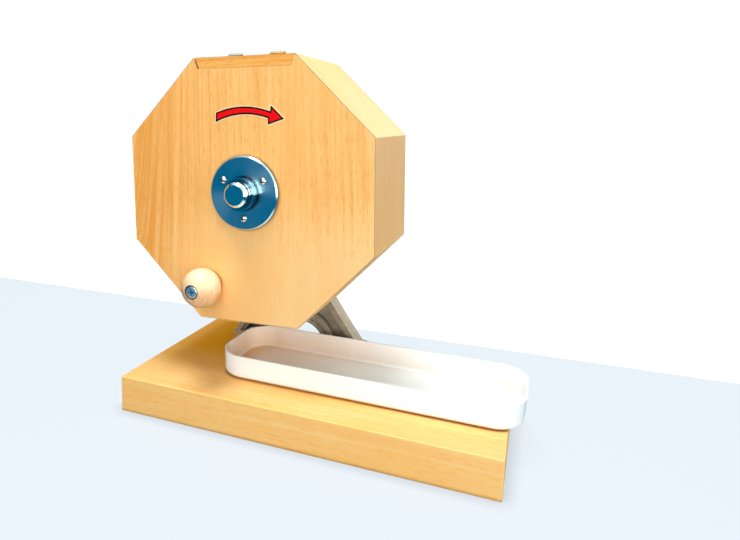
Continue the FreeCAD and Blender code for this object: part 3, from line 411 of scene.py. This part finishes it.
def tray_plastic(name):
    """White moulded plastic, slightly translucent, with faint rubbing along its length.

    It has a faint bluish painted glow that lifts its shade. Deep under other pieces it has a warm
    brown painted shade, and its painted glow is far less.
    """
    g = Graph(name)
    place = g.object_place()
    cloud = g.noise(place, 14.0, 3.0, 0.55)
    colour = g.mix(g.levels(cloud, 0.3, 0.75), rgba(linear(247, 252, 255)),
                   rgba(linear(243, 249, 254)))
    rubbed = g.noise(g.scaled(place, (18.0, 420.0, 60.0)), 1.0, 3.0, 0.65)
    rubbed = g.levels(rubbed, 0.56, 0.76)
    colour = g.mix(g.math("MULTIPLY", rubbed, 0.05), colour, rgba(linear(232, 229, 222)))
    # Painted shade deep under other pieces, warm brown.
    inner = g.crevice(150 * MM, 0.18, 0.40, 1.0)
    colour = g.mix(g.math("MULTIPLY", inner, 0.9), colour, rgba(linear(212, 152, 26)))
    # A faint bluish painted glow, strongest where the tray is open.
    glow = g.levels(inner, 0.0, 1.0, 0.15, 0.02)
    rough = g.math("ADD", g.levels(cloud, 0.3, 0.7, 0.20, 0.30),
                   g.math("MULTIPLY", rubbed, 0.06))
    peel = g.noise(place, 260.0, 2.0)
    normal = g.bump(peel, 0.08 * MM, 0.3)
    g.surface(Base_Color=colour, Roughness=rough, Normal=normal, Specular_IOR_Level=0.5,
              Subsurface_Weight=0.15, Subsurface_Radius=(4 * MM,) * 3,
              Subsurface_Scale=0.5, Emission_Color=rgba(linear(170, 230, 255)),
              Emission_Strength=glow)
    return g.material


def label_ink(name, colour):
    """Printed vinyl: even colour with a faint screen texture and worn gloss."""
    g = Graph(name)
    place = g.object_place()
    speck = g.noise(place, 1800.0, 2.0, 0.6)
    faded = tuple(min(1.0, c * 1.12 + 0.004) for c in colour)
    tint = g.mix(g.levels(speck, 0.35, 0.7, 0.0, 0.35), rgba(colour), rgba(faded))
    haze = g.noise(place, 120.0, 3.0)
    g.surface(Base_Color=tint, Roughness=g.levels(haze, 0.3, 0.7, 0.42, 0.6),
              Normal=g.bump(speck, 0.02 * MM, 0.4), Specular_IOR_Level=0.12)
    return g.material


# ------------------------------------------------------------------ dress the CAD nodes


def dress(node, material, bevel=0.0):
    """Gives a CAD node its material, and rounds its arrises by a modifier."""
    shown = frame["nodes"][node]
    shown.data.materials.clear()
    shown.data.materials.append(material)
    if bevel:
        rounding = shown.modifiers.new("arris", "BEVEL")
        rounding.width = bevel
        rounding.segments = 3
        rounding.limit_method = "ANGLE"
        rounding.angle_limit = radians(32)
        rounding.harden_normals = True


PANELS = ("upper_right", "right", "lower_right", "bottom", "lower_left", "left", "upper_left")


def dress_wood():
    """Every wooden CAD piece gets its own cut of the timber."""
    face = wood("wood_front", REST_TURN, FACE_ORDER, (0, 0.079, 0.3), HONEY,
                pith=(-0.13, 0.05), slant=-0.20, heart=(-0.040, -0.110, 0.56),
                paler_along=(0.30, 0.20, 1.05), contrast=1.15)
    dress("front_board", face, 0.5 * MM)
    dress("back_board", wood("wood_back", REST_TURN, FACE_ORDER, (0.05, 0.2, 1.1), HONEY), 0.5 * MM)
    for index, name in enumerate(PANELS, start=1):
        turn = REST_TURN + index * pi / 4
        cut = wood("wood_rim_" + name, turn, RIM_ORDER, (0.3 * index, -0.13, 0.7 * index),
                   PALE, pith=(-0.20, 0.05), contrast=0.7)
        dress("rim_panel_" + name, cut, 0.45 * MM)
    rail = wood("wood_rail", REST_TURN, RAIL_ORDER, (0.02, 0.1, 2.3), RAIL, pith=(0.09, 0.12),
                contrast=1.2, edge=DUSTY_JOINT)
    dress("front_rail", rail, 0.3 * MM)
    lid = wood("wood_lid", REST_TURN, RAIL_ORDER, (0.02, 0.1, 2.3), PALE, pith=(0.09, 0.12))
    dress("lid", lid, 0.4 * MM)
    dress("outlet_pocket", wood("wood_pocket", REST_TURN, FACE_ORDER, (0.4, 0, 0), PALE))
    dress("base_board", wood("wood_base", 0.0, LEVEL_ORDER, (0.5, 0.241, 0.2), BASE,
                             pith=(0.40, -0.10), ring=0.012, contrast=0.95, shade=1.0, sheen=0.16,
                             edge=FAINT_EDGE_WEAR_AND_HIGHLIGHT))
    # The knob is paler on its upper part: a painted highlight.
    dress("knob", wood("wood_knob", 0.35, FACE_ORDER, (0.2, 0.9, 0.4), BALL, ring=0.006,
                       contrast=1.3, paler_along=(0.298, 0.316, 0.75), gloss=0.27))


def dress_metal():
    """The metal CAD pieces."""
    chrome = metal("chrome_turned", linear(190, 222, 234), 0.20, 0.93, 0.08, 0.04)
    bright = metal("chrome_polished", linear(206, 224, 230), 0.12, 0.0, 0.12, 0.04)
    dome = metal("screw_steel", linear(246, 248, 250), 0.42, 0.0, 0.3, 0.1)
    steel = metal("zinc_steel", linear(206, 206, 202), 0.24)
    plain = metal("nickel", linear(210, 209, 204), 0.20)
    brass = metal("hinge_brass", linear(216, 178, 104), 0.26)
    bronze = metal("bush_bronze", linear(196, 142, 84), 0.30)
    iron = metal("brad_iron", linear(120, 100, 78), 0.45)
    for node in ("front_hub_flange", "rear_hub_flange"):
        dress(node, chrome, 0.15 * MM)
    for node in ("retaining_collar", "spindle", "front_thrust_washer", "rear_thrust_washer"):
        dress(node, bright, 0.3 * MM)
    for node in ("foot_bolts", "foot_washers", "spindle_washer", "spindle_nut",
                 "collar_set_screw", "knob_washer", "knob_tee_nut", "lid_catch_disc",
                 "lid_catch_magnet", "hinge_fixed_screws", "hinge_lid_screws"):
        dress(node, steel)
    for node in ("front_flange_screws", "rear_flange_screws"):
        dress(node, plain)
    dress("knob_screw", dome, 0.1 * MM)
    for side, finish in (("left", plain), ("right", brass)):
        for piece in ("_hinge_fixed_leaf", "_hinge_lid_leaf", "_hinge_pin"):
            dress(side + piece, finish)
    for node in ("front_bush", "rear_bush"):
        dress(node, bronze)
    dress("panel_brads", iron)


# ------------------------------------------------------------------ direction arrow


def drum_point(radius, clockwise, y):
    """A point around the drum axis, at an angle clockwise from the drum's own top."""
    angle = clockwise + REST_TURN
    return Vector((DRUM_AXIS.x + radius * sin(angle), y, DRUM_AXIS.z + radius * cos(angle)))


ARROW_OUTER_R = 82.7 * MM
ARROW_INNER_R = (74.4 * MM, 75.8 * MM)  # at the tail and at the neck: the band narrows
ARROW_TAIL = (radians(-21.4), radians(-24.3))  # outer and inner corner: the tail is cut upright
ARROW_NECK = radians(19.6)
ARROW_BARBS = ((88.2 * MM, radians(19.0)), (70.1 * MM, radians(21.2)))
ARROW_TIP = (82.3 * MM, radians(30.8))
ARROW_STEPS = 28


def arrow_outline():
    """The arrow's outline as a closed list of points on the front face, tail first."""
    outer = []
    inner = []
    for i in range(ARROW_STEPS + 1):
        t = i / ARROW_STEPS
        outer.append((ARROW_OUTER_R, ARROW_TAIL[0] + (ARROW_NECK - ARROW_TAIL[0]) * t))
        radius = ARROW_INNER_R[0] + (ARROW_INNER_R[1] - ARROW_INNER_R[0]) * t
        inner.append((radius, ARROW_TAIL[1] + (ARROW_NECK - ARROW_TAIL[1]) * t))
    around = outer + [ARROW_BARBS[0], ARROW_TIP, ARROW_BARBS[1]] + inner[::-1]
    return [drum_point(radius, angle, FRONT_Y) for radius, angle in around]


def grown(outline, margin, y):
    """A clockwise outline moved outwards by a margin, with mitred corners, in the plane at y."""
    moved = []
    count = len(outline)
    for i, point in enumerate(outline):
        before = (point - outline[i - 1]).normalized()
        after = (outline[(i + 1) % count] - point).normalized()
        out = Vector((-before.z - after.z, 0, before.x + after.x)).normalized()
        square = Vector((-before.z, 0, before.x))
        reach = margin / max(out.dot(square), 0.45)
        moved.append(Vector((point.x, y, point.z)) + out * reach)
    return moved


def add_sheet(bm, outline, back_y, slot):
    """A thin flat layer from an outline back to a plane."""
    front = [bm.verts.new(p) for p in outline]
    back = [bm.verts.new((p.x, back_y, p.z)) for p in outline]
    face = bm.faces.new(front)
    face.material_index = slot
    count = len(front)
    for i in range(count):
        side = bm.faces.new((front[i], back[i], back[(i + 1) % count], front[(i + 1) % count]))
        side.material_index = slot
    lower = bm.faces.new(list(reversed(back)))
    lower.material_index = slot


def make_object(name, bm, materials):
    """Turns a bmesh into a named object with its materials."""
    bmesh.ops.recalc_face_normals(bm, faces=bm.faces)
    mesh = bpy.data.meshes.new(name)
    bm.to_mesh(mesh)
    bm.free()
    for material in materials:
        mesh.materials.append(material)
    made = bpy.data.objects.new(name, mesh)
    bpy.context.scene.collection.objects.link(made)
    return made


ARROW_LAYERS = ((0.9 * MM, 0.10 * MM), (0.0, 0.16 * MM), (-1.7 * MM, 0.21 * MM))  # margin, proud


def make_arrow():
    """The curved arrow label: cream margin, black line and red field, as stacked films."""
    bm = bmesh.new()
    outline = arrow_outline()
    for slot, (margin, proud) in enumerate(ARROW_LAYERS):
        add_sheet(bm, grown(outline, margin, FRONT_Y - proud), FRONT_Y, slot)
    inks = [label_ink("label_margin", linear(255, 228, 176)),
            label_ink("label_line", linear(28, 12, 12)),
            label_ink("label_red", linear(240, 6, 18))]
    arrow = make_object("arrow_label", bm, inks)
    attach(arrow, "drum")
    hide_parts("direction_arrow")


# ------------------------------------------------------------------ stage, light and camera


# Where the pale blue ground ends and the white backdrop begins: y = offset + slope * x.
GROUND_END = 0.238
GROUND_SLOPE = 0.038
GROUND_FADE = (1.3, 2.6)  # farther away than this from the object it turns white as well
FLOOR_HALF = 9.0


def floor_material():
    """Pale blue ground, white beyond a straight line behind the object, with soft shadows from the
    lamps and a painted shadow where things stand on it.
    """
    g = Graph("floor")
    place = g.object_place()
    x, y, _ = g.split(place)
    line = g.math("ADD", g.math("MULTIPLY", x, GROUND_SLOPE), GROUND_END)
    away = g.add("VectorMath", {0: place}, 1, operation="LENGTH")
    beyond = g.math("MAXIMUM", g.math("GREATER_THAN", y, line), g.levels(away, *GROUND_FADE))
    mottle = g.levels(g.noise(place, 7.0, 3.0), 0.3, 0.7, 0.0, 0.25)
    blue = g.mix(mottle, rgba(linear(236, 245, 253)), rgba(linear(233, 243, 252)))
    colour = g.mix(beyond, blue, rgba((1.0, 1.0, 1.0)))
    glow = g.levels(beyond, 0.0, 1.0, 0.905, 1.0)
    seen = g.add("LightPath")
    glow = g.math("MULTIPLY", glow, seen)
    # Painted shadow: the floor's glow is less where things stand on it.
    glow = g.math("SUBTRACT", glow, g.crevice(16 * MM, 0.5, 1.0, 0.22))
    lit = g.mix(beyond, rgba((0.07, 0.075, 0.08)), rgba((0.2, 0.2, 0.2)))
    g.surface(Base_Color=lit, Roughness=0.85, Specular_IOR_Level=0.0,
              Emission_Color=colour, Emission_Strength=glow)
    return g.material


def make_floor():
    """A wide plain floor under the base board."""
    bm = bmesh.new()
    around = ((-1, -1), (1, -1), (1, 1), (-1, 1))
    bm.faces.new([bm.verts.new((x * FLOOR_HALF, y * FLOOR_HALF, 0.0)) for x, y in around])
    floor = make_object("floor", bm, [floor_material()])
    floor.visible_glossy = False


LIGHT_TARGET = Vector((0.0, 0.0, 0.2))


def softbox(name, place, size, power):
    """A rectangular soft light that faces the object."""
    lamp = bpy.data.lights.new(name, "AREA")
    lamp.shape = "RECTANGLE"
    lamp.size, lamp.size_y = size
    lamp.energy = power
    holder = bpy.data.objects.new(name, lamp)
    bpy.context.scene.collection.objects.link(holder)
    holder.location = place
    toward = LIGHT_TARGET - holder.location
    holder.rotation_euler = toward.to_track_quat("-Z", "Y").to_euler()


def make_lights():
    """A front and an overhead softbox, a small key, and weak fills from the right and rear."""
    softbox("overhead", (-0.10, -0.34, 1.50), (0.5, 0.5), 15.5)
    softbox("key", (0.10, -1.60, 0.85), (0.5, 0.4), 4.0)
    softbox("front", (0.75, -2.0, 0.50), (1.2, 0.9), 21.5)
    softbox("fill", (1.7, -0.5, 0.4), (1.0, 1.0), 12.0)
    softbox("rear", (0.6, 2.0, 0.8), (1.4, 1.0), 6.0)


TEAL = linear(0, 112, 150)
MIRRORED_WHITE = (1.3, 1.22, 1.15)


def make_world():
    """An even warm surround. Mirrors see it as teal, and white to the upper right and below."""
    world = bpy.data.worlds.new("surround")
    bpy.context.scene.world = world
    world.use_nodes = True
    tree = world.node_tree
    tree.nodes.clear()

    def node(kind, *values):
        """Adds a node and links or sets its first inputs."""
        made = tree.nodes.new("ShaderNode" + kind)
        for socket, value in zip(made.inputs, values):
            if isinstance(value, bpy.types.NodeSocket):
                tree.links.new(value, socket)
            else:
                socket.default_value = value
        return made

    white = (1.0, 1.0, 1.0, 1.0)
    warm = (1.0, 0.84, 0.55, 1.0)
    paths = node("LightPath")
    split = node("SeparateXYZ", node("TexCoord").outputs["Generated"])
    right = node("Math", split.outputs[0], 0.45)
    right.operation = "MULTIPLY"
    height = node("Math", split.outputs[2], 0.85, right.outputs[0])
    height.operation = "MULTIPLY_ADD"
    ceiling = node("MapRange", height.outputs[0], 0.15, 0.50, 0.0, 1.0)
    table = node("MapRange", split.outputs[2], -0.55, -0.75, 0.0, 1.0)
    bright = node("Math", ceiling.outputs[0], table.outputs[0])
    bright.operation = "MAXIMUM"
    mirrored = node("Mix")
    mirrored.data_type = "RGBA"
    tree.links.new(bright.outputs[0], mirrored.inputs[0])
    mirrored.inputs[6].default_value = rgba(TEAL)
    mirrored.inputs[7].default_value = rgba(MIRRORED_WHITE)
    ambient = node("Background", warm, 0.30)
    mirror = node("Background", mirrored.outputs[2], 1.0)
    backdrop = node("Background", white, 1.0)
    glossy = node("MixShader", paths.outputs["Is Glossy Ray"], ambient.outputs[0],
                  mirror.outputs[0])
    direct = node("MixShader", paths.outputs["Is Camera Ray"], glossy.outputs[0],
                  backdrop.outputs[0])
    node("OutputWorld", direct.outputs[0])


CAMERA_PLACE = Vector((0.2029, -0.5764, 0.3166))
CAMERA_HEADING = radians(20.27)
CAMERA_PITCH = radians(-7.735)
CAMERA_ROLL = radians(1.66)
LENS_MM = 28.33
SENSOR_MM = 36.0
LENS_SHIFT = (0.0636, -0.1009)


def make_camera():
    """The camera, at the front right, with a shifted lens."""
    lens = bpy.data.cameras.new("camera")
    lens.lens = LENS_MM
    lens.sensor_width = SENSOR_MM
    lens.shift_x, lens.shift_y = LENS_SHIFT
    camera = bpy.data.objects.new("camera", lens)
    bpy.context.scene.collection.objects.link(camera)
    camera.location = CAMERA_PLACE
    heading = Matrix.Rotation(CAMERA_HEADING, 4, "Z")
    pitch = Matrix.Rotation(pi / 2 + CAMERA_PITCH, 4, "X")
    roll = Matrix.Rotation(CAMERA_ROLL, 4, "Z")
    camera.rotation_euler = (heading @ pitch @ roll).to_euler()
    bpy.context.scene.camera = camera


def set_view():
    """Plain display colours, as a product picture has."""
    view = bpy.context.scene.view_settings
    view.view_transform = "Standard"
    view.look = "None"


dress_wood()
dress_metal()
dress("stand_casting", cast_paint("stand_paint"), 0.5 * MM)
dress("tray", tray_plastic("tray_white"), 0.4 * MM)
make_arrow()
make_floor()
make_lights()
make_world()
make_camera()
set_view()
